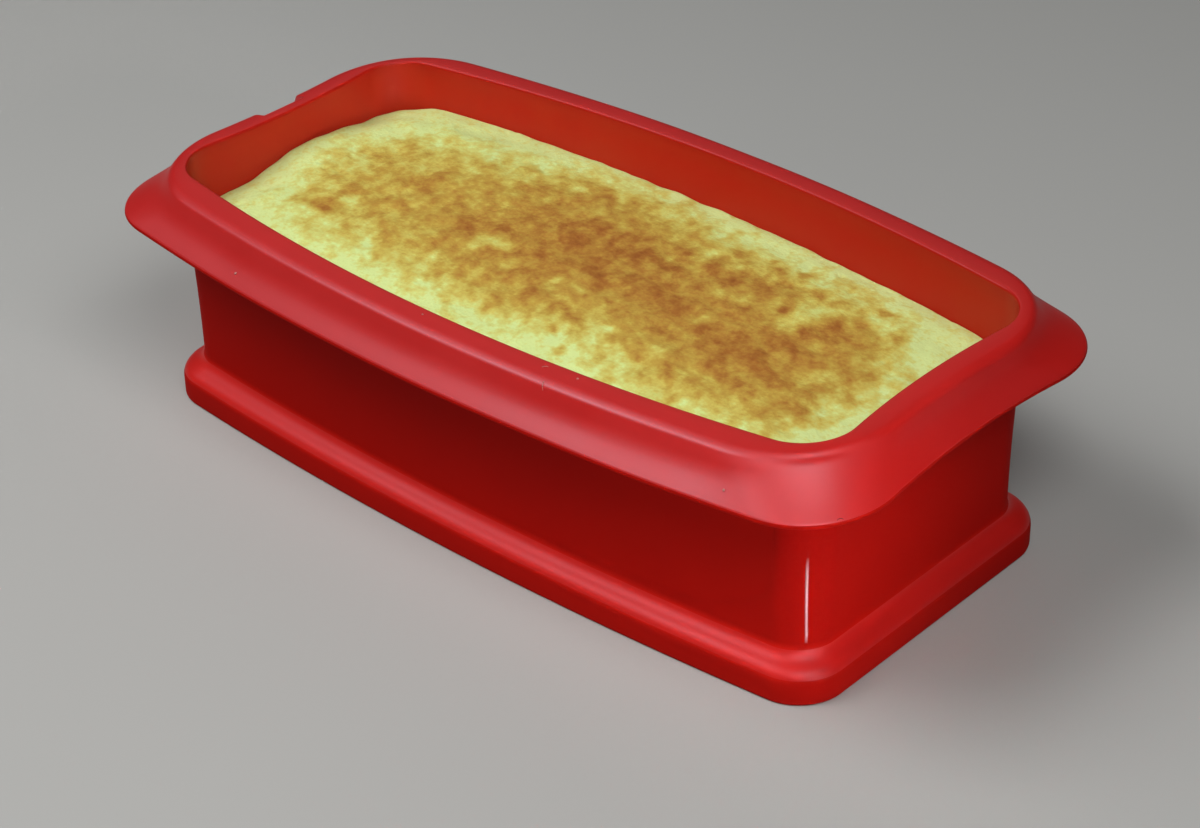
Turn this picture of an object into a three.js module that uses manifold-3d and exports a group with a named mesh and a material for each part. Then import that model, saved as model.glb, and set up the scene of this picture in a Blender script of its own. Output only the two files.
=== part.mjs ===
// A sponge cake still in the flexible loaf mould that it was baked in.
// Millimetres, +Z up, X along the loaf. The origin is the middle of the mould's flat underside.
import * as THREE from "three";
import { mergeVertices } from "three/addons/utils/BufferGeometryUtils.js";
import Module from "manifold-3d";

// Plan outlines. Each is a rectangle with round corners whose sides bow: a positive bow bulges out
// in the middle of the side, a negative one is drawn in, as the batter pushes the long sides out
// and so pulls the ends in.
const FOOT = { halfLength: 126.5, halfWidth: 60.6, corner: 13.4, longBow: 6.5, endBow: 0 };
const RIM = { halfLength: 120, halfWidth: 60, corner: 15, longBow: 12.3, endBow: -6.8 };
const FLANGE = { halfLength: 135.2, halfWidth: 75.4, corner: 26.4, longBow: 11.6, endBow: -10 };

// The mould's heights and thicknesses.
const RIM_HEIGHT = 77.6;
const WALL = 2.5;
const WALL_CORNER = 11;
const WALL_TOP_DROP = 10.1;
const FLARE_POWER = 2.6;
const FLOOR = 4;
const FOOT_HEIGHT = 12.9;
const FOOT_LEDGE = 5.7;
const BEAD_WIDTH = 7.2;
const BEAD_CORNER = 27;
const BEAD_EDGE = 1.6;

// The mould's profiles, from below to above and then down the inside. The foot's steps are
// [distance in from its outline, height].
const FOOT_STEPS = [[1.2, 0], [0.4, 0.4], [0, 1.2], [0, 8.4], [0.6, 9.6], [1.6, 10.7], [5, 12]];
// The flange's steps are [share of the way out from the bead to the edge, drop below the rim].
const FLANGE_UNDERSIDE = [[0.05, 9.5], [0.45, 11.6], [0.9, 13.9], [1, 12.8]];
const FLANGE_TOP = [[0.93, 11.4], [0.72, 10.5], [0.45, 8.7], [0.2, 6.2], [0.06, 3.8]];
// The bead's outer edge is [distance in from its outline, drop], and its inner edge and the fillet
// round the floor are [distance from the inside of the wall, drop or height].
const BEAD_OUTER_EDGE = [[0, 2.4], [0.5, 1.4], [1.7, 0.7]];
const BEAD_INNER_EDGE = [[2.2, 0], [0.5, 0.5]];
const FLOOR_FILLET = [[0, 3], [0.9, 0.9], [3, 0]];

// The notch in the outer half of the rim bead, at the middle of the -X end.
const NOTCH_WIDTH = 18;
const NOTCH_FROM_RIM = 3.6;
const NOTCH_REACH = 4.4;
const NOTCH_FLOOR = 71.4;
const NOTCH_CORNER = 1.4;

// The cake: its edge on the wall, the rise of its middle, and how it leans down towards +X. At each
// end the edge is low in the corners and lifts in the middle, more steeply on the -Y side.
const CAKE_GAP = 0.3;
const CAKE_EDGE_HEIGHT = 62.4;
const CAKE_LEAN = 2.1;
const CAKE_CORNER_DIP = 3.6;
const CAKE_END_LIFT = 4.9;
const CAKE_END_REACH = 20;
const CAKE_LIFT_MIDDLE = 2;
const CAKE_LIFT_NEAR = 17;
const CAKE_LIFT_FAR = 28;
const CAKE_DOME = 4;
const CAKE_DOME_POWER = 2.6;
const CAKE_SHOULDER = 0.8;
const CAKE_SHOULDER_OUT = 0.985;

// Steps round one quarter of an outline, and up the parts of the profile.
const CORNER_STEPS = 9;
const LONG_STEPS = 7;
const END_STEPS = 4;
const WALL_STEPS = 7;
const CAKE_SIDE_SHARES = [0, 0.4, 0.75];
const CAKE_TOP_STEPS = 9;
const CORNER_ROUNDS = 8;

const SILICONE = new THREE.MeshStandardMaterial({ color: 0xb81414, roughness: 0.45, metalness: 0 });
const SPONGE = new THREE.MeshStandardMaterial({ color: 0xd2b45e, roughness: 0.9, metalness: 0 });

const lerp = THREE.MathUtils.lerp;

function grow(outline, by) {
  return {
    ...outline,
    halfLength: outline.halfLength + by,
    halfWidth: outline.halfWidth + by,
    corner: Math.max(outline.corner + by, 1),
  };
}

function blend(from, to, share) {
  return Object.fromEntries(Object.keys(from).map((key) => [key, lerp(from[key], to[key], share)]));
}

// The distance of an outline's end side from the middle at y, and of its long side at x.
const endSide = (o, y) => o.halfLength - o.endBow * (y / o.halfWidth) ** 2;
const longSide = (o, x) => o.halfWidth - o.longBow * (x / o.halfLength) ** 2;

// A point of the round corner between the +X end and the +Y side, at an angle from +X.
function cornerPoint(o, angle) {
  let x = o.halfLength;
  let y = o.halfWidth;
  for (let round = 0; round < CORNER_ROUNDS; round++) {
    const nextX = endSide(o, y) - o.corner * (1 - Math.cos(angle));
    y = longSide(o, x) - o.corner * (1 - Math.sin(angle));
    x = nextX;
  }
  return [x, y];
}

// One quarter of an outline, from the middle of the +X end to just before the middle of the +Y side.
function quarter(o) {
  const first = cornerPoint(o, 0);
  const last = cornerPoint(o, Math.PI / 2);
  const points = [];
  for (let i = 0; i < END_STEPS; i++) {
    const y = (first[1] * i) / END_STEPS;
    points.push([endSide(o, y), y]);
  }
  for (let i = 0; i < CORNER_STEPS; i++) {
    points.push(cornerPoint(o, ((Math.PI / 2) * i) / CORNER_STEPS));
  }
  for (let i = 0; i < LONG_STEPS; i++) {
    const x = last[0] * (1 - i / LONG_STEPS);
    points.push([x, longSide(o, x)]);
  }
  points.push([0, o.halfWidth]);
  return points;
}

// The whole outline, counter-clockwise seen from above.
function plan(o) {
  const one = quarter(o);
  const inner = one.slice(1, -1);
  const turned = (points, sx, sy) => points.map(([x, y]) => [x * sx, y * sy]);
  return [
    ...one,
    ...turned(inner, -1, 1).reverse(),
    ...turned(one.slice(0, 1), -1, 1),
    ...turned(inner, -1, -1),
    ...turned(one.slice(-1), 1, -1),
    ...turned(inner, 1, -1).reverse(),
  ];
}

const level = (o, z) => plan(o).map(([x, y]) => new THREE.Vector3(x, y, z));

// A closed skin over rings of equal length, with a fan over the first ring and over the last.
function loft(rings) {
  const middle = (ring) =>
    ring.reduce((sum, p) => sum.add(p), new THREE.Vector3()).divideScalar(ring.length);
  const count = rings[0].length;
  const points = rings.flat();
  const first = points.push(middle(rings[0])) - 1;
  const last = points.push(middle(rings[rings.length - 1])) - 1;
  const faces = [];
  for (let i = 0; i < count; i++) {
    const j = (i + 1) % count;
    faces.push(first, j, i);
    for (let k = 0; k < rings.length - 1; k++) {
      const low = k * count;
      const high = low + count;
      faces.push(low + i, low + j, high + j, low + i, high + j, high + i);
    }
    const top = (rings.length - 1) * count;
    faces.push(last, top + i, top + j);
  }
  return new THREE.BufferGeometry().setFromPoints(points).setIndex(faces);
}

// The wall stands nearly upright above the foot and flares out to the rim.
const WALL_FOOT = { ...grow(FOOT, -FOOT_LEDGE), corner: WALL_CORNER };
const INNER_FOOT = grow(WALL_FOOT, -WALL);
const FLARE_TOP = RIM_HEIGHT - BEAD_EDGE;

function innerWall(z) {
  const share = THREE.MathUtils.clamp((z - FOOT_HEIGHT) / (FLARE_TOP - FOOT_HEIGHT), 0, 1);
  return blend(INNER_FOOT, RIM, share ** FLARE_POWER);
}

const outerWall = (z) => grow(innerWall(z), WALL);

// Rings up or down a wall, the last one left out because the next profile starts there.
function climb(wall, from, to) {
  return Array.from({ length: WALL_STEPS }, (_, i) => {
    const z = lerp(from, to, i / WALL_STEPS);
    return level(wall(z), z);
  });
}

// The flange falls away from the rim bead as a skirt that flares out to its edge.
const BEAD = { ...grow(RIM, BEAD_WIDTH), corner: BEAD_CORNER };
const skirt = ([out, drop]) => level(blend(BEAD, FLANGE, out), RIM_HEIGHT - drop);

function mouldRings() {
  const wallTop = RIM_HEIGHT - WALL_TOP_DROP;
  const filletTop = FLOOR + FLOOR_FILLET[0][1];
  return [
    ...FOOT_STEPS.map(([inset, z]) => level(grow(FOOT, -inset), z)),
    ...climb(outerWall, FOOT_HEIGHT, wallTop),
    level(outerWall(wallTop), wallTop),
    ...FLANGE_UNDERSIDE.map(skirt),
    ...FLANGE_TOP.map(skirt),
    ...BEAD_OUTER_EDGE.map(([inset, drop]) => level(grow(BEAD, -inset), RIM_HEIGHT - drop)),
    ...BEAD_INNER_EDGE.map(([out, drop]) => level(grow(RIM, out), RIM_HEIGHT - drop)),
    ...climb(innerWall, FLARE_TOP, filletTop),
    ...FLOOR_FILLET.map(([inset, z]) => level(grow(INNER_FOOT, -inset), FLOOR + z)),
  ];
}

// The notch's cutter, an upright block with round inner corners that reaches out past the bead.
function notchGeometry() {
  const inner = -(RIM.halfLength + NOTCH_FROM_RIM);
  const outer = inner - NOTCH_REACH;
  const half = NOTCH_WIDTH / 2;
  const shape = new THREE.Shape();
  shape.moveTo(outer, -half);
  shape.lineTo(inner - NOTCH_CORNER, -half);
  shape.absarc(inner - NOTCH_CORNER, -half + NOTCH_CORNER, NOTCH_CORNER, -Math.PI / 2, 0, false);
  shape.absarc(inner - NOTCH_CORNER, half - NOTCH_CORNER, NOTCH_CORNER, 0, Math.PI / 2, false);
  shape.lineTo(outer, half);
  shape.closePath();
  const depth = RIM_HEIGHT - NOTCH_FLOOR + BEAD_EDGE;
  const options = { depth, bevelEnabled: false, curveSegments: 4 };
  return new THREE.ExtrudeGeometry(shape, options).translate(0, 0, NOTCH_FLOOR);
}

const wasm = await Module();
wasm.setup();

function toSolid(geometry) {
  const bare = geometry.clone();
  bare.deleteAttribute("normal");
  bare.deleteAttribute("uv");
  const merged = mergeVertices(bare, 1e-4);
  const vertProperties = merged.getAttribute("position").array;
  const triVerts = new Uint32Array(merged.index.array);
  return new wasm.Manifold(new wasm.Mesh({ numProp: 3, vertProperties, triVerts }));
}

function toGeometry(solid) {
  const mesh = solid.getMesh();
  const geometry = new THREE.BufferGeometry();
  geometry.setAttribute("position", new THREE.BufferAttribute(mesh.vertProperties, 3));
  geometry.setIndex(new THREE.BufferAttribute(mesh.triVerts, 1));
  return geometry;
}

function makeMould() {
  const geometry = toGeometry(toSolid(loft(mouldRings())).subtract(toSolid(notchGeometry())));
  const mould = new THREE.Mesh(geometry, SILICONE);
  mould.name = "mould";
  return mould;
}

// The height of the cake's top where it meets the wall, carried inwards under the dome.
function cakeEdge(x, y) {
  const end = RIM.halfLength;
  const fromMiddle = y - CAKE_LIFT_MIDDLE;
  const width = fromMiddle < 0 ? CAKE_LIFT_NEAR : CAKE_LIFT_FAR;
  const lift = CAKE_END_LIFT * Math.exp(-((fromMiddle / width) ** 2)) - CAKE_CORNER_DIP;
  const nearEnd = THREE.MathUtils.smoothstep(Math.abs(x), end - CAKE_END_REACH, end);
  return CAKE_EDGE_HEIGHT - (CAKE_LEAN * x) / end + lift * nearEnd;
}

// The cake fills the mould, so its side is the inside of the wall with a hair of clearance.
const cakeSide = (z) => grow(innerWall(z), -CAKE_GAP);

// Where the cake's side is at a height, at one step round its outline.
function onCakeSide(z, step) {
  const [x, y] = plan(cakeSide(z))[step];
  return new THREE.Vector3(x, y, z);
}

function cakeRings() {
  const bottom = FLOOR + CAKE_GAP;
  const foot = grow(INNER_FOOT, -CAKE_GAP);
  const base = [...FLOOR_FILLET].reverse().map(([inset, z]) => level(grow(foot, -inset), bottom + z));
  const edge = plan(cakeSide(CAKE_EDGE_HEIGHT)).map(([x, y], step) =>
    onCakeSide(cakeEdge(x, y) - CAKE_SHOULDER, step),
  );
  const side = CAKE_SIDE_SHARES.map((share) =>
    edge.map((p, step) => onCakeSide(lerp(FOOT_HEIGHT, p.z, share), step)),
  );
  const top = Array.from({ length: CAKE_TOP_STEPS }, (_, k) => {
    const out = CAKE_SHOULDER_OUT * (1 - k / CAKE_TOP_STEPS);
    const rise = CAKE_DOME * (1 - out ** CAKE_DOME_POWER);
    return edge.map(({ x, y }) => new THREE.Vector3(x * out, y * out, cakeEdge(x * out, y * out) + rise));
  });
  return [...base, ...side, edge, ...top];
}

function makeCake() {
  const cake = new THREE.Mesh(loft(cakeRings()), SPONGE);
  cake.name = "cake";
  return cake;
}

const loaf = new THREE.Group();
loaf.add(makeMould(), makeCake());

export default loaf;
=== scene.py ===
import math

import bpy
import numpy as np
from mathutils import Matrix, Vector, noise
from mathutils.bvhtree import BVHTree


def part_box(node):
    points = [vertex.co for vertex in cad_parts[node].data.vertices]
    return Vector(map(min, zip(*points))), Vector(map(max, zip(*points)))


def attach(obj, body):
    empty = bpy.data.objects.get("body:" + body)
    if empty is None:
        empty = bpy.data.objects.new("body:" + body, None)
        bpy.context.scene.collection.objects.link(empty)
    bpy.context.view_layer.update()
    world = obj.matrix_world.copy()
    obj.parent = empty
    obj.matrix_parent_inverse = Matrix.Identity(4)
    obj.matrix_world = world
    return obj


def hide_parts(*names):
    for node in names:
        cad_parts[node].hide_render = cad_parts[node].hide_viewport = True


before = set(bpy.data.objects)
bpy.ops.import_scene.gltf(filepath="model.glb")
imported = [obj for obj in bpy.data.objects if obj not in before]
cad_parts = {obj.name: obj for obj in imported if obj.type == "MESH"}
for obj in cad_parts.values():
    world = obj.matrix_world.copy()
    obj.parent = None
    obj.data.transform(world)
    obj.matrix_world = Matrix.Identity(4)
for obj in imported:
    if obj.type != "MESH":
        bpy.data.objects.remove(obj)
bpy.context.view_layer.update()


# The mould
# A loaf mould pressed in one piece from red silicone rubber: a stepped foot, a wall that the batter has
# bowed outwards, a round bead along the rim and a wide flared lip to lift it by. It stands on its foot.
MM = 0.001

# Plan outlines in mm: half length, half width, corner radius, and how far the long sides and the ends bow.
FOOT = np.array([126.5, 60.6, 13.4, 6.5, 0.0])
RIM = np.array([120.0, 60.0, 15.0, 12.3, -6.8])
LIP = np.array([135.2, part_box("mould")[1].y / MM, 26.4, 11.6, -10.0])
RIM_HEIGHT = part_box("mould")[1].z / MM
SMALLEST_CORNER = 1.0
SETTLING_ROUNDS = 8

# A row of the profile is an outline and then its height, how far it is on the inside, how much higher it
# runs at the corners, and how far its own corner is rounded.
WIDE, CORNER, HEIGHT, INSIDE, RISE, REACH = 1, 2, 5, 6, 7, 8
SAME_ROW = 1e-6
RIM_INSIDE = 0.3

# Sizes and heights in mm. A drop is measured down from the rim.
WALL = 2.5
WALL_CORNER = 11.0
FOOT_LEDGE = 5.7
FOOT_EDGE = 9.2
LEDGE_TOP = 12.3
FLARE_START = 12.9
FLARE_POWER = 2.6
FLARE_DROP = 1.6
WALL_TOP = RIM_HEIGHT - 10.1
FLOOR = 4.0
CAP_INSET = 8.0
BEAD_WIDTH = 8.6
BEAD_CORNER = 33.5
BEAD_DROP = 0.25
LIP_DROP = 11.7
LIP_EDGE_DROP = 13.0
LIP_EDGE_TOP = 12.1
CORNER_FILL, FRONT_CORNER_FILL = 0.2, 0.75
CORNER_SPREAD = 21.0

NOTCH_HALF = 9.0
NOTCH_BACK = RIM[0] + 3.6
NOTCH_FLOOR = 71.4
NOTCH_SOFTNESS = 0.8
NOTCH_ROUNDING = 0.3

FLASH_TURN = math.radians(42.5)
FLASH_LEAN = math.radians(3.6)
FLASH_BOTTOM, FLASH_TOP = 16.4, 43.5
FLASH_FADE_BELOW, FLASH_FADE_ABOVE = 0.5, 6.0
FLASH_CORE, FLASH_EDGE = 0.16, 0.46
FLASH_PROUD = 0.35

# Painted light on the foot's ledge: in mm, where it fades towards the ends, below the ledge and above it.
LEDGE_LIGHT_FADE = 16.0
LEDGE_LIGHT_BELOW, LEDGE_LIGHT_ABOVE = 2.5, 3.0


def grow(outline, by):
    """The same outline with its sides a distance further out, or further in."""
    larger = outline + by * np.array([1, 1, 1, 0, 0])
    larger[CORNER] = max(larger[CORNER], SMALLEST_CORNER)
    return larger


def corner_arc(outline, turns):
    """Points of the round corner between the +X end and the +Y side, by their angle from +X."""
    half_length, half_width, corner, long_bow, end_bow = outline
    x, y = half_length, half_width
    # Where the corner lies and how far the sides have bowed there depend on each other.
    for _ in range(SETTLING_ROUNDS):
        end = half_length - end_bow * (y / half_width) ** 2
        side = half_width - long_bow * (x / half_length) ** 2
        x, y = end - corner * (1 - np.cos(turns)), side - corner * (1 - np.sin(turns))
    return np.column_stack([x, y])


def plan_ring(outline, end_points, end_steps, turns, long_steps):
    """A closed loop of plan points, counter-clockwise from the middle of the +X end."""
    half_length, half_width, _, long_bow, end_bow = outline
    arc = corner_arc(outline, turns)
    y = np.append(end_points, np.linspace(end_points[-1], arc[0, 1], end_steps + 1)[1:-1])
    end = np.column_stack([half_length - end_bow * (y / half_width) ** 2, y])
    x = np.linspace(arc[-1, 0], 0, long_steps + 1)[1:]
    side = np.column_stack([x, half_width - long_bow * (x / half_length) ** 2])
    quarter = np.vstack([end, arc, side])
    half = np.vstack([quarter, (quarter * (-1, 1))[-2::-1]])
    return np.vstack([half, (half * (1, -1))[-2:0:-1]])


def station(outline, height, reach=0.0, inside=0.0, rise=0.0):
    """One row of the profile."""
    return np.array([*outline, height, inside, rise, reach])


def soften(rows, steps):
    """The rows of a profile with each of its corners rounded over that row's own reach, and none twice."""
    smooth = [rows[0]]
    for before, row, after in zip(rows, rows[1:], rows[2:]):
        to_before = math.hypot(*(before - row)[[WIDE, HEIGHT]])
        to_after = math.hypot(*(after - row)[[WIDE, HEIGHT]])
        start = row + (before - row) * min(row[REACH] / to_before, 0.5)
        end = row + (after - row) * min(row[REACH] / to_after, 0.5)
        for t in np.linspace(0, 1, steps + 1) if row[REACH] else [0]:
            smooth.append((1 - t) ** 2 * start + 2 * t * (1 - t) * row + t ** 2 * end)
    smooth.append(rows[-1])
    gaps = np.abs(np.diff(smooth, axis=0))[:, :RISE].max(1)
    return np.array(smooth)[np.append(True, gaps > SAME_ROW)]


def lumps(points, size, seed=0.0):
    """Smooth noise from -1 to 1 at points in mm, with lumps of about that size."""
    return np.array([noise.noise(Vector(p) / size + Vector((seed, 0, 0))) for p in points])


def smooth_step(low, high, value):
    """0 up to a low value, 1 from a high one, and a smooth rise between them."""
    share = np.clip((value - low) / (high - low), 0, 1)
    return share * share * (3 - 2 * share)


def add_mesh(name, points, faces, **values):
    """A smooth mesh object from points in mm, with one number for each point under each given name."""
    mesh = bpy.data.meshes.new(name)
    mesh.from_pydata(np.asarray(points) * MM, [], faces)
    mesh.shade_smooth()
    for key, numbers in values.items():
        mesh.attributes.new(key, "FLOAT", "POINT").data.foreach_set("value", np.float32(numbers))
    piece = bpy.data.objects.new(name, mesh)
    bpy.context.scene.collection.objects.link(piece)
    return piece


def band_faces(count, rings, first=0):
    """Four-sided faces between rings of a like number of points, each ring above the one before."""
    here = np.arange(count)
    after = (here + 1) % count
    low = first + count * np.arange(rings - 1)[:, None]
    faces = np.stack([low + here, low + after, low + count + after, low + count + here], axis=2)
    return faces.reshape(-1, 4).tolist()


wall_foot = grow(FOOT, -FOOT_LEDGE)
wall_foot[CORNER] = WALL_CORNER
inner_foot = grow(wall_foot, -WALL)
bead = grow(RIM, BEAD_WIDTH)
bead[CORNER] = BEAD_CORNER


def inner_wall(height):
    """The outline of the wall's inside, upright above the foot and flaring to the rim."""
    share = (height - FLARE_START) / (RIM_HEIGHT - FLARE_DROP - FLARE_START)
    return inner_foot + (RIM - inner_foot) * np.clip(share, 0, 1) ** FLARE_POWER


def underside(out, drop, reach):
    """A corner of the lip's underside: its share of the way out from the bead, and its drop."""
    return station(bead + (LIP - bead) * out, RIM_HEIGHT - drop, reach)


def lip_top(out, drop, reach):
    """A corner of the lip's upper side, whose hollow is partly filled where it goes round a corner."""
    hollow = max(drop - BEAD_DROP - LIP_DROP * out, 0)
    return station(bead + (LIP - bead) * out, RIM_HEIGHT - drop, reach, rise=hollow)


def bead_top(out, rise, reach):
    """A corner of the bead's top: its share of the way out from the rim's inner edge, and its height."""
    return station(RIM + (bead - RIM) * out, RIM_HEIGHT + rise, reach)


# The wall's rows keep clear of the rounded corners above and below them.
WALL_ROWS, INNER_ROWS = 20, 18
ABOVE_LEDGE, BELOW_LIP = 6.0, 2.0
BELOW_RIM, ABOVE_FLOOR = 3.0, 4.0
wall_heights = np.linspace(LEDGE_TOP + ABOVE_LEDGE, WALL_TOP - BELOW_LIP, WALL_ROWS)
inner_heights = np.linspace(RIM_HEIGHT - BELOW_RIM, FLOOR + ABOVE_FLOOR, INNER_ROWS)

# From under the foot up the outside, out along the lip's underside, back over its top and the bead, and
# down the inside to the floor.
profile = [
    station(grow(FOOT, -CAP_INSET), 0),
    station(FOOT, 0, 1.3),
    station(FOOT, FOOT_EDGE, 2.8),
    station(wall_foot, LEDGE_TOP, 4.2),
    *[station(grow(inner_wall(z), WALL), z) for z in wall_heights],
    station(grow(inner_wall(WALL_TOP), WALL), WALL_TOP, 1.6),
    underside(0.05, 9.5, 2.5),
    underside(0.45, 11.6, 4),
    underside(0.94, 13.5, 0.6),
    underside(1.0, LIP_EDGE_DROP, 0.4),
    lip_top(0.995, 12.4, 0.4),
    lip_top(0.97, 11.85, 0.4),
    lip_top(0.52, 8.6, 3),
    lip_top(0.345, 7.1, 3),
    lip_top(0.2, 5.5, 3),
    lip_top(0.09, 3.8, 3),
    bead_top(0.94, -1.25, 0.8),
    bead_top(0.7, -0.25, 1.2),
    bead_top(0.35, 0.1, 1.6),
    station(grow(RIM, -0.4), RIM_HEIGHT + 0.3, 1.3, inside=RIM_INSIDE),
    *[station(inner_wall(z), z, inside=1) for z in inner_heights],
    station(inner_foot, FLOOR, 3, inside=1),
    station(grow(inner_foot, -CAP_INSET), FLOOR, inside=1),
]
ROUNDING_STEPS = 6
rows = soften(profile, ROUNDING_STEPS)

# Points stand close together where the notch and the flash line are.
END_STEPS, CORNER_STEPS, LONG_STEPS = 12, 24, 44
COARSE_STEP, FINE_STEP, FINE_SPAN = 1.6, 0.2, 1.0
PAST_NOTCH = np.array([2.0, 3.5])
NEAR_FLASH = np.radians(np.arange(-3.2, 7.3, 0.8))
near_notch = np.arange(NOTCH_HALF - FINE_SPAN, NOTCH_HALF + FINE_SPAN + FINE_STEP / 2, FINE_STEP)
in_notch = np.arange(0, near_notch[0], COARSE_STEP)
end_points = np.concatenate([in_notch, near_notch, NOTCH_HALF + PAST_NOTCH])
even_turns = np.radians(np.linspace(0, 90, CORNER_STEPS + 1))
corner_turns = np.unique(np.append(even_turns, FLASH_TURN + NEAR_FLASH))

flash_out = np.array([math.cos(FLASH_TURN), -math.sin(FLASH_TURN)])
lip_corner = corner_arc(bead, math.pi / 4)[0]
mould_points, mould_inside, mould_flash, mould_handled = [], [], [], []
for row in rows:
    plan = plan_ring(row[:HEIGHT], end_points, END_STEPS, corner_turns, LONG_STEPS)
    at_corner = np.exp(-((np.linalg.norm(np.abs(plan) - lip_corner, axis=1) / CORNER_SPREAD) ** 2))
    at_front = (plan[:, 0] > 0) & (plan[:, 1] < 0)
    fill = at_corner * np.where(at_front, FRONT_CORNER_FILL, CORNER_FILL)
    points = np.column_stack([plan, row[HEIGHT] + row[RISE] * fill])
    flash = np.zeros(len(plan))
    outside = row[INSIDE] < 0.5
    if outside:
        # A fine flash line stands proud of the wall, down the middle of the front corner; its mask also
        # paints a pale pink highlight.
        flash_turn = FLASH_TURN + FLASH_LEAN * (row[HEIGHT] - FLASH_BOTTOM) / (FLASH_TOP - FLASH_BOTTOM)
        flash_at = corner_arc(row[:HEIGHT], flash_turn)[0] * (1, -1)
        away = np.linalg.norm(plan - flash_at, axis=1)
        flash = 1 - smooth_step(FLASH_CORE, FLASH_EDGE, away)
        flash *= smooth_step(FLASH_BOTTOM - FLASH_FADE_BELOW, FLASH_BOTTOM, row[HEIGHT])
        flash *= 1 - smooth_step(FLASH_TOP - FLASH_FADE_ABOVE, FLASH_TOP, row[HEIGHT])
        points[:, :2] += flash[:, None] * flash_out * FLASH_PROUD
        # The notch cuts the outer half of the bead away at the middle of the -X end.
        if row[HEIGHT] > NOTCH_FLOOR:
            past = points[:, 0] + NOTCH_BACK
            cut = np.where(points[:, 0] < 0, 0.5 * (np.hypot(past, NOTCH_ROUNDING) - past), 0)
            across = np.abs(points[:, 1])
            points[:, 0] += cut * (1 - smooth_step(NOTCH_HALF - NOTCH_SOFTNESS, NOTCH_HALF, across))
    # Painted light: the foot's ledge is painted a lighter red along the long sides, where the light falls
    # full on it, and not at the ends, which are in shade.
    handled = 1 - smooth_step(FOOT[0] - LEDGE_LIGHT_FADE, FOOT[0], np.abs(plan[:, 0]))
    handled *= smooth_step(FOOT_EDGE - LEDGE_LIGHT_BELOW, FOOT_EDGE, row[HEIGHT]) * outside
    handled *= 1 - smooth_step(LEDGE_TOP, LEDGE_TOP + LEDGE_LIGHT_ABOVE, row[HEIGHT])
    mould_points.append(points)
    mould_inside.append(np.full(len(plan), row[INSIDE]))
    mould_flash.append(flash)
    mould_handled.append(handled)
ring_count = len(mould_points[0])
mould_points = np.vstack(mould_points)

# The soft lip isn't quite even: towards its edge it waves up and down by a fraction of a millimetre.
LIP_WAVE, LIP_WAVE_LENGTH = 0.35, 55.0
WAVE_STARTS_X, WAVE_FULL_X = RIM[0] + BEAD_WIDTH, LIP[0]
WAVE_STARTS_Y, WAVE_FULL_Y = RIM[1] + BEAD_WIDTH - 10, LIP[1] - 4
WAVE_STARTS_Z, WAVE_FULL_Z = WALL_TOP - 8, WALL_TOP - 4
towards_end = smooth_step(WAVE_STARTS_X, WAVE_FULL_X, np.abs(mould_points[:, 0]))
towards_side = smooth_step(WAVE_STARTS_Y, WAVE_FULL_Y, np.abs(mould_points[:, 1]))
lip_share = np.maximum(towards_side, towards_end)
lip_share *= smooth_step(WAVE_STARTS_Z, WAVE_FULL_Z, mould_points[:, 2])
mould_points[:, 2] += LIP_WAVE * lip_share * lumps(mould_points * (1, 1, 0), LIP_WAVE_LENGTH, seed=3.1)

mould_faces = band_faces(ring_count, len(rows))
mould_faces.append(list(range(ring_count))[::-1])
mould_faces.append(list(range(len(mould_points) - ring_count, len(mould_points))))
mould = add_mesh(
    "silicone_mould",
    mould_points,
    mould_faces,
    inside=np.concatenate(mould_inside),
    flash=np.concatenate(mould_flash),
    handled=np.concatenate(mould_handled),
)


def linear(hex_colour):
    """An sRGB hex colour as linear red, green, blue and alpha."""
    channels = [int(hex_colour[i:i + 2], 16) / 255 for i in (1, 3, 5)]
    return [c / 12.92 if c <= 0.04045 else ((c + 0.055) / 1.055) ** 2.4 for c in channels] + [1.0]


def per_metre(size):
    """The texture scale whose pattern repeats about every size mm."""
    return 1 / (size * MM)


def add_node(tree, kind, inputs, **settings):
    """Adds a node with its settings, and sets or links each of its inputs."""
    node = tree.nodes.new(kind)
    for setting, value in settings.items():
        setattr(node, setting, value)
    for socket, value in inputs.items():
        if isinstance(value, bpy.types.NodeSocket):
            tree.links.new(value, node.inputs[socket])
        else:
            node.inputs[socket].default_value = value
    return node


def new_material(name):
    """An empty node material and its tree."""
    material = bpy.data.materials.new(name)
    material.use_nodes = True
    material.node_tree.nodes.clear()
    return material, material.node_tree


# A mix node's colour sockets share their names with others, so they are known by their places.
MIX_A, MIX_B, MIX_COLOUR = 6, 7, 2
UNEVEN_GLOSS = 0.03


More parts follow.
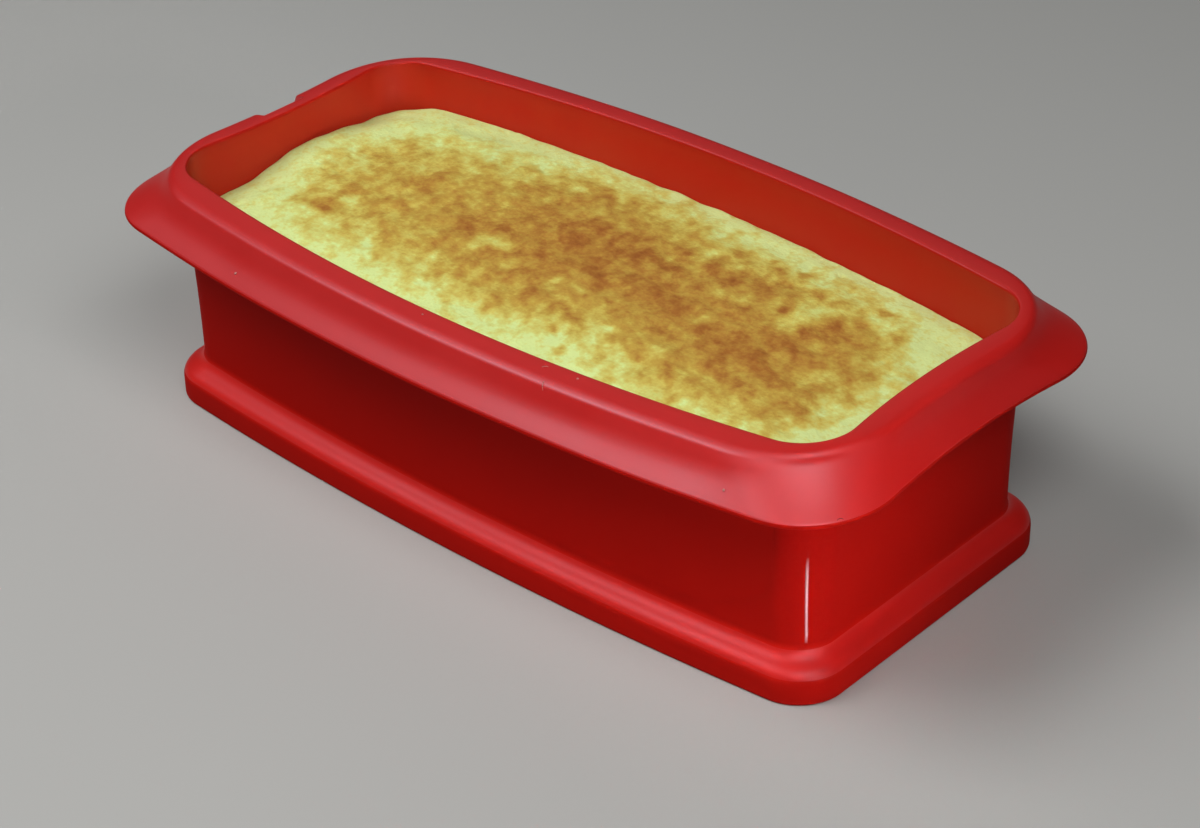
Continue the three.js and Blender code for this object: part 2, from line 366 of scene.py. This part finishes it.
def silicone_rubber(name, light_red, dark_red, roughness, specular):
    """Red silicone rubber with a fine grain: brownish with baking fat on its inside, a lighter red painted
    on the foot's ledge along the long sides as painted light, and a pale pink painted highlight along the
    flash line."""
    material, tree = new_material(name)
    place = add_node(tree, "ShaderNodeTexCoord", {}).outputs["Object"]
    inside = add_node(tree, "ShaderNodeAttribute", {}, attribute_name="inside").outputs["Fac"]
    flash = add_node(tree, "ShaderNodeAttribute", {}, attribute_name="flash").outputs["Fac"]
    handled = add_node(tree, "ShaderNodeAttribute", {}, attribute_name="handled").outputs["Fac"]
    clouding = add_node(
        tree,
        "ShaderNodeTexNoise",
        {"Vector": place, "Scale": per_metre(22), "Detail": 3.0, "Roughness": 0.6},
    ).outputs["Fac"]
    film_patches = add_node(
        tree,
        "ShaderNodeTexNoise",
        {"Vector": place, "Scale": per_metre(30), "Detail": 4.0, "Roughness": 0.65},
    ).outputs["Fac"]
    red = add_node(
        tree,
        "ShaderNodeMix",
        {0: clouding, MIX_A: linear(dark_red), MIX_B: linear(light_red)},
        data_type="RGBA",
    )
    # Painted light: a lighter red on the foot's ledge along the long sides, where the light falls on it.
    ledge_light_mix = add_node(
        tree,
        "ShaderNodeMix",
        {0: handled, MIX_A: red.outputs[MIX_COLOUR], MIX_B: linear("#D01B12")},
        data_type="RGBA",
    )
    film_spread = add_node(
        tree,
        "ShaderNodeMapRange",
        {"Value": film_patches, "From Min": 0.35, "From Max": 0.7, "To Min": 0.45, "To Max": 1.0},
    )
    film = add_node(tree, "ShaderNodeMath", {0: film_spread.outputs[0], 1: inside}, operation="MULTIPLY")
    filmed = add_node(
        tree,
        "ShaderNodeMix",
        {0: film.outputs[0], MIX_A: ledge_light_mix.outputs[MIX_COLOUR], MIX_B: linear("#AE2711")},
        data_type="RGBA",
    )
    # Painted highlight: a pale pink along the flash line, standing for the glint on the front corner.
    painted_highlight = add_node(
        tree,
        "ShaderNodeMix",
        {0: flash, MIX_A: filmed.outputs[MIX_COLOUR], MIX_B: linear("#F0B6BB")},
        data_type="RGBA",
    )
    # The blasted grain is about 0.1 mm; it is drawn at 0.5 mm so that it still shows in a picture.
    grain = add_node(
        tree,
        "ShaderNodeTexNoise",
        {"Vector": place, "Scale": per_metre(0.5), "Detail": 2.0, "Roughness": 0.6},
    )
    grain_bump = add_node(
        tree, "ShaderNodeBump", {"Height": grain.outputs["Fac"], "Strength": 0.12, "Distance": 0.1 * MM}
    )
    gloss = add_node(
        tree,
        "ShaderNodeMapRange",
        {
            "Value": clouding,
            "From Min": 0.3,
            "From Max": 0.7,
            "To Min": roughness - UNEVEN_GLOSS,
            "To Max": roughness + UNEVEN_GLOSS,
        },
    )
    rubber = add_node(
        tree,
        "ShaderNodeBsdfPrincipled",
        {
            "Base Color": painted_highlight.outputs[MIX_COLOUR],
            "Roughness": gloss.outputs[0],
            "IOR": 1.43,
            "Specular IOR Level": specular,
            "Specular Tint": linear("#F9EEFF"),
            "Normal": grain_bump.outputs[0],
        },
    )
    add_node(tree, "ShaderNodeOutputMaterial", {"Surface": rubber.outputs[0]})
    return material


# Satin silicone rubber, moulded on polished steel: a deep red whose soft gloss spreads the lights into a
# pink veil. It makes the lip and the bead.
mould.data.materials.append(silicone_rubber("satin_silicone_rubber", "#BC150D", "#B2110A", 0.44, 0.9))
# Matt silicone rubber, moulded on blasted steel: without a sheen, and a deeper red than the lip's, which is
# painted shade. It makes the wall, the foot and the thin edge of the lip.
mould.data.materials.append(silicone_rubber("matt_silicone_rubber", "#AB120A", "#A20E07", 0.7, 0.04))
# Ledge silicone rubber: matt rubber with a low sheen. Its red, between the lip's and the wall's, and the
# lighter red along the long sides are painted light. It is the ledge of the foot.
mould.data.materials.append(silicone_rubber("handled_silicone_rubber", "#B7140C", "#AD1009", 0.45, 0.5))
# Greased silicone rubber: the wall's inside, where baking fat left a thin brownish film that mirrors a
# little of the yellow cake.
mould.data.materials.append(silicone_rubber("greased_silicone_rubber", "#B3130B", "#A90F08", 0.38, 0.32))
SATIN, MATT, LEDGE_FINISH, GREASED = 0, 1, 2, 3
LOOKS_UP = 0.35
climb = np.diff(rows[:, [WIDE, HEIGHT]], axis=0)
looks_up = -climb[:, 0] / np.linalg.norm(climb, axis=1)
finish = np.where(looks_up > LOOKS_UP, LEDGE_FINISH, MATT)
finish[rows[1:, HEIGHT] > RIM_HEIGHT - LIP_EDGE_TOP] = SATIN
finish[rows[1:, INSIDE] > RIM_INSIDE] = GREASED
mould.data.polygons.foreach_set("material_index", np.append(np.repeat(finish, ring_count), [MATT, MATT]))
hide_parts("mould")
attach(mould, "root")


# The cake
# A sponge baked in the mould until its top browned: a low dome, pale and moist along the wall, with a thin
# mottled skin that is dark in the middle. It fills the mould and holds to its wall.

# Sizes in mm. The edge leans along the loaf, dips in the corners and is lifted in the middle of the ends.
CAKE_GAP = 0.12
CAKE_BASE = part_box("cake")[0].z / MM
EDGE_HEIGHT = 62.4
LEAN = 2.1
CORNER_DIP = 3.6
END_LIFT = 4.9
END_REACH = 20.0
LIFT_MIDDLE = 2.0
LIFT_NEAR, LIFT_FAR = 17.0, 28.0
UNEVEN_EDGE, UNEVEN_LENGTH = 0.5, 8.0
DOME = 4.0
DOME_POWER = 2.6
SHOULDER = 0.6
SHOULDER_WIDTH = 0.8

# Points along half an end, half a corner and half a long side, about 0.6 mm apart.
END_POINTS, TURN_POINTS, LONG_POINTS = 54, 20, 172


def edge_height(x, y):
    """The uneven height of the edge on the wall: low in the corners, lifted in the middle of the ends."""
    across = y - LIFT_MIDDLE
    width = np.where(across < 0, LIFT_NEAR, LIFT_FAR)
    lift = END_LIFT * np.exp(-((across / width) ** 2)) - CORNER_DIP
    uneven = UNEVEN_EDGE * lumps(np.column_stack([x, y, np.zeros(len(x))]), UNEVEN_LENGTH, seed=51.0)
    even = EDGE_HEIGHT - LEAN * x / RIM[0] + lift * smooth_step(RIM[0] - END_REACH, RIM[0], np.abs(x))
    return even + uneven


def cake_ring(outline):
    """A loop of plan points just clear of the wall."""
    turns = np.linspace(0, math.pi / 2, 2 * TURN_POINTS + 1)
    return plan_ring(grow(outline, -CAKE_GAP), np.zeros(1), END_POINTS, turns, LONG_POINTS)


def on_wall(heights):
    """The cake's outline with each of its points at a height of its own on the wall."""
    low, high = heights.min() - 1, heights.max() + 1
    share = ((heights - low) / (high - low))[:, None]
    plan = cake_ring(inner_wall(low)) * (1 - share) + cake_ring(inner_wall(high)) * share
    return np.column_stack([plan, heights])


level_edge = cake_ring(inner_wall(EDGE_HEIGHT))
edge = on_wall(edge_height(*level_edge.T) - SHOULDER)
count = len(edge)

# The top is a sheet of points spanned between the four stretches of that edge.
corner_1 = END_POINTS + TURN_POINTS
corner_2 = count // 2 - corner_1
corner_3 = count // 2 + corner_1
corner_4 = count - corner_1
near_side = edge[corner_3:corner_4 + 1, :2]
far_side = edge[corner_1:corner_2 + 1, :2][::-1]
left_side = edge[corner_2:corner_3 + 1, :2][::-1]
right_side = np.vstack([edge[corner_4:, :2], edge[:corner_1 + 1, :2]])
u = np.linspace(0, 1, len(near_side))[None, :, None]
v = np.linspace(0, 1, len(left_side))[:, None, None]
sheet = (1 - v) * near_side[None] + v * far_side[None]
sheet = sheet + (1 - u) * left_side[:, None] + u * right_side[:, None]
sheet -= (1 - u) * (1 - v) * near_side[0] + u * (1 - v) * near_side[-1]
sheet -= (1 - u) * v * far_side[0] + u * v * far_side[-1]
wide, deep = sheet.shape[1], sheet.shape[0]
top = sheet.reshape(-1, 2)

# How far out each point is: 0 in the middle of the cake and 1 at its edge.
edge_turn = np.arctan2(edge[:, 1], edge[:, 0])
edge_radius = np.hypot(edge[:, 0], edge[:, 1])
top_turn = np.arctan2(top[:, 1], top[:, 0])
radius_here = np.interp(top_turn, *np.array(sorted(zip(edge_turn, edge_radius))).T, period=2 * math.pi)
out = np.clip(np.hypot(top[:, 0], top[:, 1]) / radius_here, 0, 1)
from_edge = (1 - out) * radius_here

# The blisters and blotches of the skin are a third longer on a slant across the loaf.
SLANT = math.radians(-47)
STRETCH = 1.35
along = (top[:, 0] * math.cos(SLANT) + top[:, 1] * math.sin(SLANT)) / STRETCH
across = top[:, 1] * math.cos(SLANT) - top[:, 0] * math.sin(SLANT)
flat = np.column_stack([along, across, np.zeros(len(top))])
swell = lumps(flat, 17, seed=1.7)
blister = lumps(flat, 6.0, seed=5.3)
pimple = lumps(flat, 3.0, seed=9.9)
crumb = lumps(flat, 1.6, seed=14.2)

# They stand up by these heights in mm, and by less close to the wall, which held the batter smooth.
SMOOTH_WIDTH = 4.0
EDGE_RELIEF = 0.25
relief = 0.35 * swell + 0.22 * blister + 0.14 * pimple + 0.06 * crumb
relief *= EDGE_RELIEF + (1 - EDGE_RELIEF) * smooth_step(0, SMOOTH_WIDTH, from_edge)
top_height = edge_height(*top.T) + DOME * (1 - out ** DOME_POWER) + relief
top_height -= SHOULDER * np.exp(-from_edge / SHOULDER_WIDTH)

# Small bubbles burst at the skin and left pits.
PIT_COUNT = 260
PIT_FIELD = np.array([112.0, 52.0])
SMALLEST_PIT, LARGEST_PIT = 0.5, 1.1
PIT_DEPTH = 0.35
draw = np.random.default_rng(11)
for _ in range(PIT_COUNT):
    pit_at = draw.uniform(-PIT_FIELD, PIT_FIELD)
    pit_radius = draw.uniform(SMALLEST_PIT, LARGEST_PIT)
    away = np.hypot(top[:, 0] - pit_at[0], top[:, 1] - pit_at[1]) / pit_radius
    top_height -= PIT_DEPTH * pit_radius * np.exp(-(away ** 2))

# Where the skin took any colour, as (x, near edge, far edge) in mm along the loaf.
BROWNED = [
    (-111, 0, 12), (-104, -15, 23), (-95, -31, 33), (-80, -37, 35), (-60, -39, 40), (-40, -39, 48),
    (-10, -40, 51), (8, -36, 48), (20, -31, 45), (35, -37, 45), (60, -43, 45), (80, -43, 43), (91, -39, 36),
    (98, -27, 21), (104.5, -4, 14),
]
# The patches that came out darker or paler: (x, y, half length, half width, how much). A patch is at its
# full strength inside its core and fades to its end, both as shares of its half sizes.
PATCH_CORE, PATCH_END = 0.2, 1.4
PATCHES = [
    (-3, 12, 18, 14, 0.1), (22, 1, 16, 8, 0.08), (62, -4, 17, 11, 0.07), (73, 18, 8, 10, 0.14),
    (38, 24, 13, 6, 0.18), (91, 5, 7, 12, 0.06), (80, -16, 11, 7, 0.07), (-27, 36, 6, 6, 0.16),
    (-70, 4, 6, 4, 0.15), (-83, -23, 8, 4, 0.32), (-72, -12, 7, 4, 0.15), (-41, -7, 8, 9, 0.14),
    (0, -30, 8, 5, 0.16), (58.5, 19, 3, 2.6, 0.42), (-29, -8, 8, 4.5, -0.5), (-1, -10.5, 2.4, 2.4, -0.5),
    (9, -10.5, 1.9, 1.7, -0.4), (64, 19, 5, 8, -0.42), (53, 18, 4, 7, -0.32), (44, -2, 3, 6, -0.26),
    (38, 13, 5, 4, -0.26), (86, -1, 5, 4, -0.22), (-95, 2, 5, 7, -0.2), (-78, 13, 6, 4, -0.16),
    (-16, -14, 4, 5, -0.2), (45, -21, 5, 3, -0.26), (66, 27, 6, 4, -0.22), (-80, -15, 4, 4, -0.26),
    (72, -33, 28, 7, -0.1), (0, -20, 11, 6, 0.15), (84, -25, 9, 8, -0.15), (52, 11, 20, 7, -0.1),
    (-45, 10, 6, 5, -0.16),
]
# Rings of colour round bubbles near the edge: (x, y, radius).
RINGS = [(37, 39, 2.4), (49, 39.5, 2.8), (79, 38, 2.6), (25, -37, 2.4), (16, -31, 2.2)]
RING_STRENGTH = 0.35
RING_MIDDLE, RING_WIDTH = 0.4, 0.5
# How brown the middle of the top is, left and right of the stretch in mm where it changes.
DEPTH_LEFT, DEPTH_RIGHT = 0.61, 0.83
CHANGE_START, CHANGE_END = -70.0, -15.0
# How brown its fringe is, and how far in mm the fringe and the core lie inside the browned outline.
EDGE_DEPTH = 0.64
EDGE_START, EDGE_END = -4.0, 14.0
CORE_START, CORE_END = 7.0, 36.0
# How far in mm the mottle makes the outline ragged, and how much it shows on pale and on browned skin.
RAGGED = 4.0
MOTTLE_PALE, MOTTLE_BROWNED = 0.13, 0.2
MOTTLE_START, MOTTLE_END = -0.05, 0.3


def warp(seed):
    """How far in mm the skin's blotches are pulled out of line at each point."""
    return 3.0 * lumps(flat, 9, seed) + 1.4 * lumps(flat, 3.5, seed + 4)


mottle = 0.75 * blister + 0.62 * lumps(flat, 3.4, seed=41.0) + 0.3 * lumps(flat, 1.9, seed=47.0)
x, y = top[:, 0] + warp(21.0), top[:, 1] + warp(33.0)
browned = np.array(BROWNED, float)
from_near = y - np.interp(x, browned[:, 0], browned[:, 1])
from_far = np.interp(x, browned[:, 0], browned[:, 2]) - y
from_ends = np.minimum(x - browned[0, 0], browned[-1, 0] - x)
margin = np.minimum(np.minimum(from_near, from_far), from_ends) + RAGGED * mottle
depth = DEPTH_LEFT + (DEPTH_RIGHT - DEPTH_LEFT) * smooth_step(CHANGE_START, CHANGE_END, x)
browning = EDGE_DEPTH * np.clip((margin - EDGE_START) / (EDGE_END - EDGE_START), 0, 1)
browning += (1 - EDGE_DEPTH) * smooth_step(CORE_START, CORE_END, margin)
browning *= depth
for patch_x, patch_y, half_x, half_y, strength in PATCHES:
    away = np.hypot((x - patch_x) / half_x, (y - patch_y) / half_y)
    browning += strength * (1 - smooth_step(PATCH_CORE, PATCH_END, away))
for ring_x, ring_y, radius in RINGS:
    away = np.hypot(top[:, 0] - ring_x, top[:, 1] - ring_y)
    browning += RING_STRENGTH * np.exp(-(((away - RING_MIDDLE * radius) / (RING_WIDTH * radius)) ** 2))
browning += mottle * (MOTTLE_PALE + MOTTLE_BROWNED * smooth_step(MOTTLE_START, MOTTLE_END, browning))

# Below the edge the sides follow the wall down to a round foot, as (inset, rise) in mm.
SIDE_ROWS = 8
side_shares = np.linspace(1, 0, SIDE_ROWS + 1)[1:]
sides = [on_wall(FLARE_START + (edge[:, 2] - FLARE_START) * share) for share in side_shares]
foot_rounding = [(0, 3.0), (0.9, 0.9), (3.0, 0)]
for inset, rise in foot_rounding:
    plan = cake_ring(grow(inner_foot, -inset))
    sides.append(np.column_stack([plan, np.full(count, CAKE_BASE + rise)]))

grid = np.arange(wide * deep).reshape(deep, wide)
quads = [grid[:-1, :-1], grid[:-1, 1:], grid[1:, 1:], grid[1:, :-1]]
cake_faces = np.stack(quads, axis=2).reshape(-1, 4).tolist()
rim_loop = np.concatenate([grid[:-1, -1], grid[-1, :0:-1], grid[:0:-1, 0], grid[0, :-1]])
rim_loop = np.roll(rim_loop, -corner_1)
first_side = len(top)
side_loop = first_side + np.arange(count)
skirt_quads = [rim_loop, side_loop, np.roll(side_loop, -1), np.roll(rim_loop, -1)]
cake_faces += np.stack(skirt_quads, axis=1).tolist()
cake_faces += [face[::-1] for face in band_faces(count, len(sides), first_side)]
last = first_side + count * (len(sides) - 1)
cake_faces.append(list(range(last, last + count))[::-1])
cake_points = np.vstack([np.column_stack([top, top_height]), *sides])
SIDE_BROWNING = 0.3
cake_browning = np.append(browning, np.full(len(cake_points) - len(top), SIDE_BROWNING))
cake = add_mesh("sponge", cake_points, cake_faces, browning=cake_browning)

# Sponge crumb under a thin baked skin: matt and pale lemon where it stayed moist, through gold to a dry
# toffee brown, with a fine open grain and pores that catch the light.
sponge, tree = new_material("baked_sponge")
place = add_node(tree, "ShaderNodeTexCoord", {}).outputs["Object"]
browned_here = add_node(tree, "ShaderNodeAttribute", {}, attribute_name="browning").outputs["Fac"]
speckle = add_node(
    tree,
    "ShaderNodeTexNoise",
    {"Vector": place, "Scale": per_metre(1.8), "Detail": 1.5, "Roughness": 0.7},
)
SPECKLE = 0.14
speckle_range = add_node(
    tree,
    "ShaderNodeMapRange",
    {
        "Value": speckle.outputs["Fac"],
        "From Min": 0.25,
        "From Max": 0.75,
        "To Min": -SPECKLE,
        "To Max": SPECKLE,
    },
)
toasting = add_node(
    tree, "ShaderNodeMath", {0: browned_here, 1: speckle_range.outputs[0]}, operation="ADD"
)
# The colours that the skin goes through, by how far it browned.
BROWNING_COLOURS = [
    (0.0, "#D1E092"), (0.12, "#CFD279"), (0.35, "#CAB95A"), (0.57, "#BD9D44"), (0.79, "#B18337"),
    (1.0, "#A1672B"), (1.2, "#935624"),
]
DARKEST = BROWNING_COLOURS[-1][0]
ramp_place = add_node(tree, "ShaderNodeMath", {0: toasting.outputs[0], 1: DARKEST}, operation="DIVIDE")
ramp = add_node(tree, "ShaderNodeValToRGB", {"Fac": ramp_place.outputs[0]})
stops = ramp.color_ramp.elements
for at, colour in BROWNING_COLOURS[1:-1]:
    stops.new(at / DARKEST).color = linear(colour)
stops[0].color = linear(BROWNING_COLOURS[0][1])
stops[len(stops) - 1].color = linear(BROWNING_COLOURS[-1][1])
pores = add_node(tree, "ShaderNodeTexVoronoi", {"Vector": place, "Scale": per_metre(1.1)}, feature="F1")
fine_grain = add_node(
    tree,
    "ShaderNodeTexNoise",
    {"Vector": place, "Scale": per_metre(0.6), "Detail": 3.0, "Roughness": 0.7},
)
texture = add_node(
    tree, "ShaderNodeMath", {0: pores.outputs["Distance"], 1: fine_grain.outputs["Fac"]}, operation="ADD"
)
skin_bump = add_node(
    tree, "ShaderNodeBump", {"Height": texture.outputs[0], "Strength": 0.35, "Distance": 0.3 * MM}
)
crumb_shader = add_node(
    tree,
    "ShaderNodeBsdfPrincipled",
    {
        "Base Color": ramp.outputs["Color"],
        "Roughness": 0.75,
        "IOR": 1.4,
        "Specular IOR Level": 0.2,
        "Normal": skin_bump.outputs[0],
    },
)
add_node(tree, "ShaderNodeOutputMaterial", {"Surface": crumb_shader.outputs[0]})
cake.data.materials.append(sponge)
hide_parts("cake")
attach(cake, "root")


# The crumbs
# Bits that fell on the lip while the cake was made: four dry crumbs, two short pale fibres and a scorched
# one at the edge. They lie loose on the rubber. Crumbs are (x, y, size) in mm.
CRUMBS = [(-1.3, -62.7, 0.6), (52.9, -60.2, 0.55), (-70.0, -69.4, 0.8), (106.4, -65.1, 0.7)]
CRUMB_FLATNESS = 0.55
CRUMB_LIFT = 0.8
CRUMB_LUMPS, CRUMB_UNEVEN = 1.3, 0.5
CRUMB_LEVELS = 7
SIDES = 10
POLE = 0.92

# Fibres are (x, y, heading in degrees, scorched or not).
FIBRES = [(42.4, -61.3, 35, 0), (46.4, -66.3, 120, 0), (134.1, -53.6, 60, 1)]
FIBRE_LENGTH = 1.7
FIBRE_RADIUS = 0.09
FIBRE_BOW = 0.25
FIBRE_LEVELS = 9

ABOVE_RIM = RIM_HEIGHT + 10
lip_surface = BVHTree.FromPolygons([Vector(p) for p in mould_points], mould_faces[:-2])


def on_lip(x, y):
    """The point on the mould's upper side under a place in plan, and the way that it faces."""
    point, normal, _, _ = lip_surface.ray_cast(Vector((x, y, ABOVE_RIM)), Vector((0, 0, -1)))
    return point, normal


def ball_rings(sides, levels):
    """Points of a unit ball as rings from just above one pole to just below the other."""
    rings = []
    for level in np.linspace(-POLE, POLE, levels):
        turns = np.linspace(0, 2 * math.pi, sides, endpoint=False)
        around = math.sqrt(1 - level * level)
        rings += [Vector((around * math.cos(turn), around * math.sin(turn), level)) for turn in turns]
    return rings


crumb_points, crumb_faces, crumb_scorch = [], [], []


def add_rings(rings, levels, scorch):
    """Adds one closed bit to the crumbs' mesh, from rings of points with flat ends."""
    first = len(crumb_points)
    crumb_points.extend(rings)
    crumb_faces.extend(band_faces(SIDES, levels, first))
    crumb_faces.append(list(range(first, first + SIDES))[::-1])
    crumb_faces.append(list(range(first + SIDES * (levels - 1), first + SIDES * levels)))
    crumb_scorch.extend([scorch] * len(rings))


for crumb_x, crumb_y, size in CRUMBS:
    point, normal = on_lip(crumb_x, crumb_y)
    upright = normal.to_track_quat("Z", "Y")
    bits = []
    for bit in ball_rings(SIDES, CRUMB_LEVELS):
        radius = size / 2 * (1 + CRUMB_UNEVEN * noise.noise(bit * CRUMB_LUMPS + point))
        flattened = Vector((bit.x, bit.y, (bit.z + CRUMB_LIFT) * CRUMB_FLATNESS))
        bits.append(point + upright @ flattened * radius)
    add_rings(bits, CRUMB_LEVELS, 0.0)

for fibre_x, fibre_y, heading, scorch in FIBRES:
    along = Vector((math.cos(math.radians(heading)), math.sin(math.radians(heading)), 0))
    aside = Vector((-along.y, along.x, 0))
    bits = []
    for share in np.linspace(-1, 1, FIBRE_LEVELS):
        bow = FIBRE_BOW * (1 - share * share)
        place_on_lip = Vector((fibre_x, fibre_y, 0)) + along * share * FIBRE_LENGTH / 2 + aside * bow
        point, normal = on_lip(place_on_lip.x, place_on_lip.y)
        across = normal.cross(along).normalized()
        for turn in np.linspace(0, 2 * math.pi, SIDES, endpoint=False):
            around = across * math.cos(turn) + normal * math.sin(turn)
            bits.append(point + normal * FIBRE_RADIUS + around * FIBRE_RADIUS)
    add_rings(bits, FIBRE_LEVELS, float(scorch))
crumbs = add_mesh("crumbs", crumb_points, crumb_faces, scorch=crumb_scorch)

# Dried crumb and fluff: matt and so thin that the red under it turns it a dusty pink, or burnt to a dark
# brown.
dry_crumb, tree = new_material("dried_crumb")
place = add_node(tree, "ShaderNodeTexCoord", {}).outputs["Object"]
scorch = add_node(tree, "ShaderNodeAttribute", {}, attribute_name="scorch").outputs["Fac"]
dust = add_node(tree, "ShaderNodeTexNoise", {"Vector": place, "Scale": per_metre(0.3), "Detail": 2.0})
dusty = add_node(
    tree,
    "ShaderNodeMix",
    {0: dust.outputs["Fac"], MIX_A: linear("#AB6660"), MIX_B: linear("#BE8780")},
    data_type="RGBA",
)
toasted = add_node(
    tree,
    "ShaderNodeMix",
    {0: scorch, MIX_A: dusty.outputs[MIX_COLOUR], MIX_B: linear("#3A1512")},
    data_type="RGBA",
)
dry_shader = add_node(
    tree, "ShaderNodeBsdfPrincipled", {"Base Color": toasted.outputs[MIX_COLOUR], "Roughness": 0.85}
)
add_node(tree, "ShaderNodeOutputMaterial", {"Surface": dry_shader.outputs[0]})
crumbs.data.materials.append(dry_crumb)
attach(crumbs, "root")


# The floor, the lights and the camera
# A pale board, two wide soft boxes in front and above, two narrow weak ones on the right for the front
# corner and for the inside of the notched end, a weak one behind on the left for the sheen of the rim, and
# the camera where the photograph was taken from.
FLOOR_HALF = 3000.0
floor_corners = [(x, y, 0) for x, y in [(-1, -1), (1, -1), (1, 1), (-1, 1)]]
floor = add_mesh("floor", np.array(floor_corners) * FLOOR_HALF, [[0, 1, 2, 3]])

# Painted board: an even pale grey with hardly a sheen, so that the shadow on it reads.
board_paint, tree = new_material("painted_board")
place = add_node(tree, "ShaderNodeTexCoord", {}).outputs["Object"]
paint = add_node(tree, "ShaderNodeTexNoise", {"Vector": place, "Scale": per_metre(400), "Detail": 2.0})
paint_tone = add_node(
    tree,
    "ShaderNodeMix",
    {0: paint.outputs["Fac"], MIX_A: linear("#AEAEAB"), MIX_B: linear("#B3B3B0")},
    data_type="RGBA",
)
board = add_node(
    tree,
    "ShaderNodeBsdfPrincipled",
    {"Base Color": paint_tone.outputs[MIX_COLOUR], "Roughness": 0.8, "Specular IOR Level": 0.3},
)
add_node(tree, "ShaderNodeOutputMaterial", {"Surface": board.outputs[0]})
floor.data.materials.append(board_paint)


def soft_box(name, toward, distance, width, height, power, spread=180, aim=(0, 0, RIM_HEIGHT)):
    """A rectangular light at a distance in metres, in a direction from a point in mm, and facing it."""
    light = bpy.data.lights.new(name, "AREA")
    light.shape = "RECTANGLE"
    light.size = width
    light.size_y = height
    light.energy = power
    light.spread = math.radians(spread)
    lamp = bpy.data.objects.new(name, light)
    direction = Vector(toward).normalized()
    lamp.location = direction * distance + Vector(aim) * MM
    lamp.rotation_euler = direction.to_track_quat("Z", "Y").to_euler()
    lamp.visible_camera = False
    bpy.context.scene.collection.objects.link(lamp)


soft_box("left_soft_box", (-0.4, -0.45, 0.8), 1.1, 0.75, 0.6, 8.6)
soft_box("right_soft_box", (0.56, -0.34, 0.75), 1.1, 0.6, 0.45, 6.3)
soft_box("corner_soft_box", (0.9, -0.3, 0.1), 0.6, 0.06, 0.06, 0.017, spread=13, aim=(122, -47, 42))
soft_box("end_soft_box", (0.92, -0.12, 0.33), 0.9, 0.12, 0.12, 0.017, spread=16, aim=(-112, 0, 68))
soft_box("sheen_soft_box", (-0.57, 0.62, 0.6), 1.2, 0.9, 0.6, 0.55)

scene = bpy.context.scene
scene.view_settings.view_transform = "Standard"
world = bpy.data.worlds.new("studio")
world.use_nodes = True
background = world.node_tree.nodes["Background"]
background.inputs["Color"].default_value = (1, 1, 1, 1)
background.inputs["Strength"].default_value = 0.02
scene.world = world

AZIMUTH, ELEVATION, ROLL = math.radians(42.67), math.radians(32.35), math.radians(-1.35)
LOOK_AT = Vector((5.9, -1.03, 19.1)) * MM
DISTANCE = 847.97 * MM
back = Vector((
    math.sin(AZIMUTH) * math.cos(ELEVATION),
    -math.cos(AZIMUTH) * math.cos(ELEVATION),
    math.sin(ELEVATION),
))
right = Vector((0, 0, 1)).cross(back).normalized()
turn = Matrix((right, back.cross(right), back)).transposed() @ Matrix.Rotation(ROLL, 3, "Z")
camera_data = bpy.data.cameras.new("camera")
camera_data.sensor_fit = "HORIZONTAL"
camera_data.sensor_width = 36
camera_data.lens = 87.14
camera = bpy.data.objects.new("camera", camera_data)
camera.matrix_world = Matrix.Translation(LOOK_AT + back * DISTANCE) @ turn.to_4x4()
scene.collection.objects.link(camera)
scene.camera = camera

bpy.context.view_layer.update()
